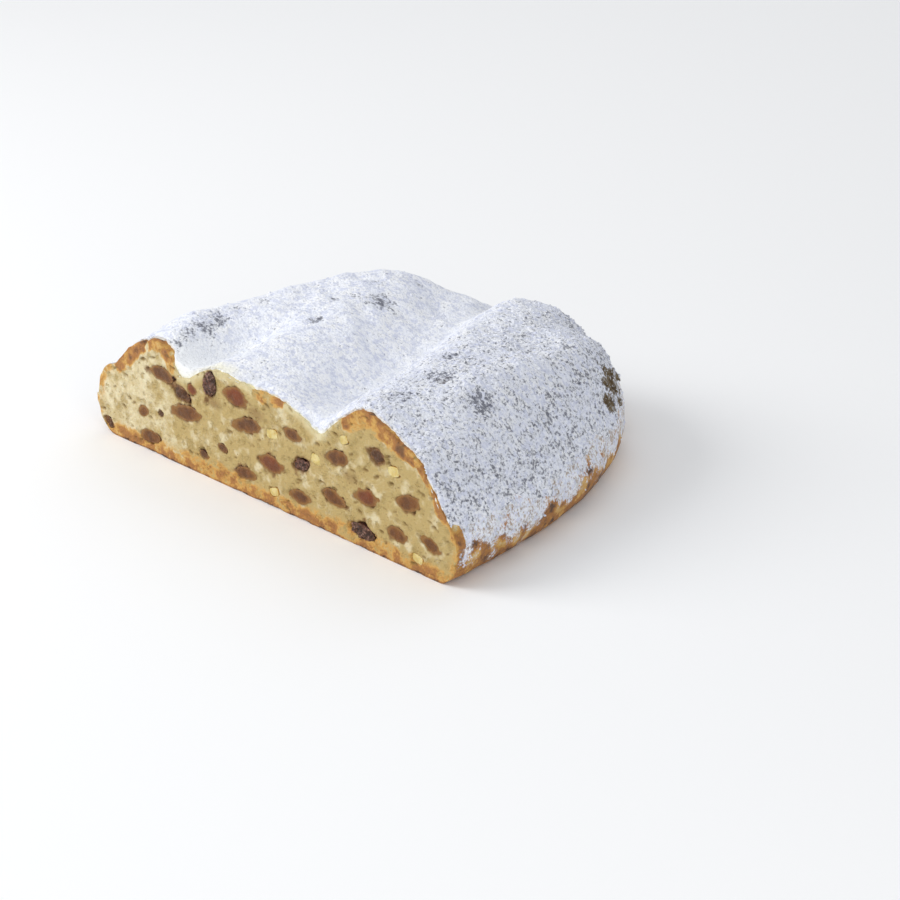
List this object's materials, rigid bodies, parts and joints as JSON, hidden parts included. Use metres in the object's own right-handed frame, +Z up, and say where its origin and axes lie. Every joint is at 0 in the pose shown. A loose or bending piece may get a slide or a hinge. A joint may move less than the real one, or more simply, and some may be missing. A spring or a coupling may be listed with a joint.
{
  "type": "stollen",
  "caption": "Half of a stollen, cut straight across: a folded raisin loaf with a flat base, a rounded end and a coat of powdered sugar.",
  "frame": {"origin": "middle of the flat base, on the surface that the loaf lies on, half way between the cut and the rounded end", "axes": "+X to the right along the cut as one faces it, +Y from the cut to the rounded end, +Z up; the cut faces -Y"},
  "size_m": [0.1659, 0.1271, 0.0473],
  "materials": {
    "dough": "matte, porous cream crumb with a golden to brown crust",
    "sugar": "matte, powdery white",
    "raisin": "wrinkled, slightly glossy brown",
    "peel": "glossy candied yellow"
  },
  "bodies": {
    "root": {"loaf": "dough", "sugar_coat": "sugar", "raisin_01": "raisin", "raisin_02": "raisin", "raisin_03": "raisin", "raisin_04": "raisin", "raisin_05": "raisin", "raisin_06": "raisin", "raisin_07": "raisin", "raisin_08": "raisin", "raisin_09": "raisin", "raisin_10": "raisin", "raisin_11": "raisin", "raisin_12": "raisin", "raisin_13": "raisin", "raisin_14": "raisin", "raisin_15": "raisin", "raisin_16": "raisin", "raisin_17": "raisin", "raisin_18": "raisin", "raisin_19": "raisin", "raisin_20": "raisin", "raisin_21": "raisin", "raisin_22": "raisin", "raisin_23": "raisin", "raisin_24": "raisin", "raisin_25": "raisin", "raisin_26": "raisin", "peel_01": "peel", "peel_02": "peel", "peel_03": "peel", "peel_04": "peel", "peel_05": "peel", "peel_06": "peel"}
  },
  "joints": []
}
